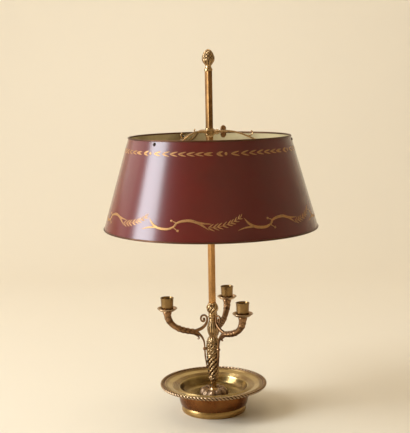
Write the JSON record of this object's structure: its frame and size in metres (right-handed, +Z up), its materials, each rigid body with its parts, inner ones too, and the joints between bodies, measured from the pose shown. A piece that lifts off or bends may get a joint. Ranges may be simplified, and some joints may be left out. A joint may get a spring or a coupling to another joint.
{
  "type": "bouillotte lamp",
  "caption": "Table lamp for candles: dished foot, turned stem with scroll arms, and a painted metal shade that slides on a square mast and clamps with a thumb key.",
  "frame": {"origin": "middle of the foot ring's lower face, on the table", "axes": "+Z up along the mast; +X towards the first candle arm; the thumb key's screw lies along +Y"},
  "size_m": [0.3792, 0.3792, 0.6466],
  "materials": {
    "aged_brass": "aged, handled bright on the high spots",
    "polished_brass": "polished, lightly worn",
    "dish_brass": "turned and polished, greenish tone",
    "dark_brass": "cast, dark in the hollows",
    "oxblood_paint": "glossy oxblood lacquer on the outside of the shade",
    "cream_paint": "aged cream paint on the inside of the shade",
    "gilding": "gilt ornament painted on the lacquer",
    "black_iron": "blackened",
    "steel": "plain"
  },
  "bodies": {
    "lamp": {"foot_ring": "polished_brass", "dish_basin": "dish_brass", "dish_flange": "dish_brass", "rope_border": "dark_brass", "tie_rod": "steel", "base_washer": "steel", "base_nut": "steel", "stem_mound": "dark_brass", "stem_spool": "aged_brass", "pearl_ring": "aged_brass", "vase": "aged_brass", "baluster": "aged_brass", "ringed_collar": "aged_brass", "leaf_knob": "aged_brass", "mast": "polished_brass", "scroll_arm_1": "aged_brass", "scroll_arm_2": "aged_brass", "scroll_arm_3": "aged_brass", "arm_screws": "dark_brass", "drip_pan_1": "aged_brass", "drip_pan_2": "aged_brass", "drip_pan_3": "aged_brass", "candle_cup_1": "polished_brass", "candle_cup_2": "polished_brass", "candle_cup_3": "polished_brass", "cup_screws": "steel"},
    "shade": {"carrier_hub": "aged_brass", "carrier_arm_1": "aged_brass", "carrier_arm_2": "aged_brass", "carrier_arm_3": "aged_brass", "shade_shell": "oxblood_paint", "shade_top_rim": "polished_brass", "shade_bottom_rim": "polished_brass", "shade_screws": "black_iron", "shade_nuts": "steel"},
    "key": {"thumb_key": "dark_brass"},
    "finial": {"finial": "aged_brass"}
  },
  "joints": [
    {"name": "shade_slide", "type": "slide", "parent": "lamp", "child": "shade", "axis": [0, 0, 1], "range_m": [-0.25, 0.09]},
    {"name": "key_turn", "type": "hinge", "parent": "shade", "child": "key", "pos_m": [0, 0.032, 0.503], "axis": [0, 1, 0], "range_deg": [0, 270]},
    {"name": "finial_turn", "type": "hinge", "parent": "lamp", "child": "finial", "pos_m": [0, 0, 0.609], "axis": [0, 0, 1], "continuous": true}
  ]
}
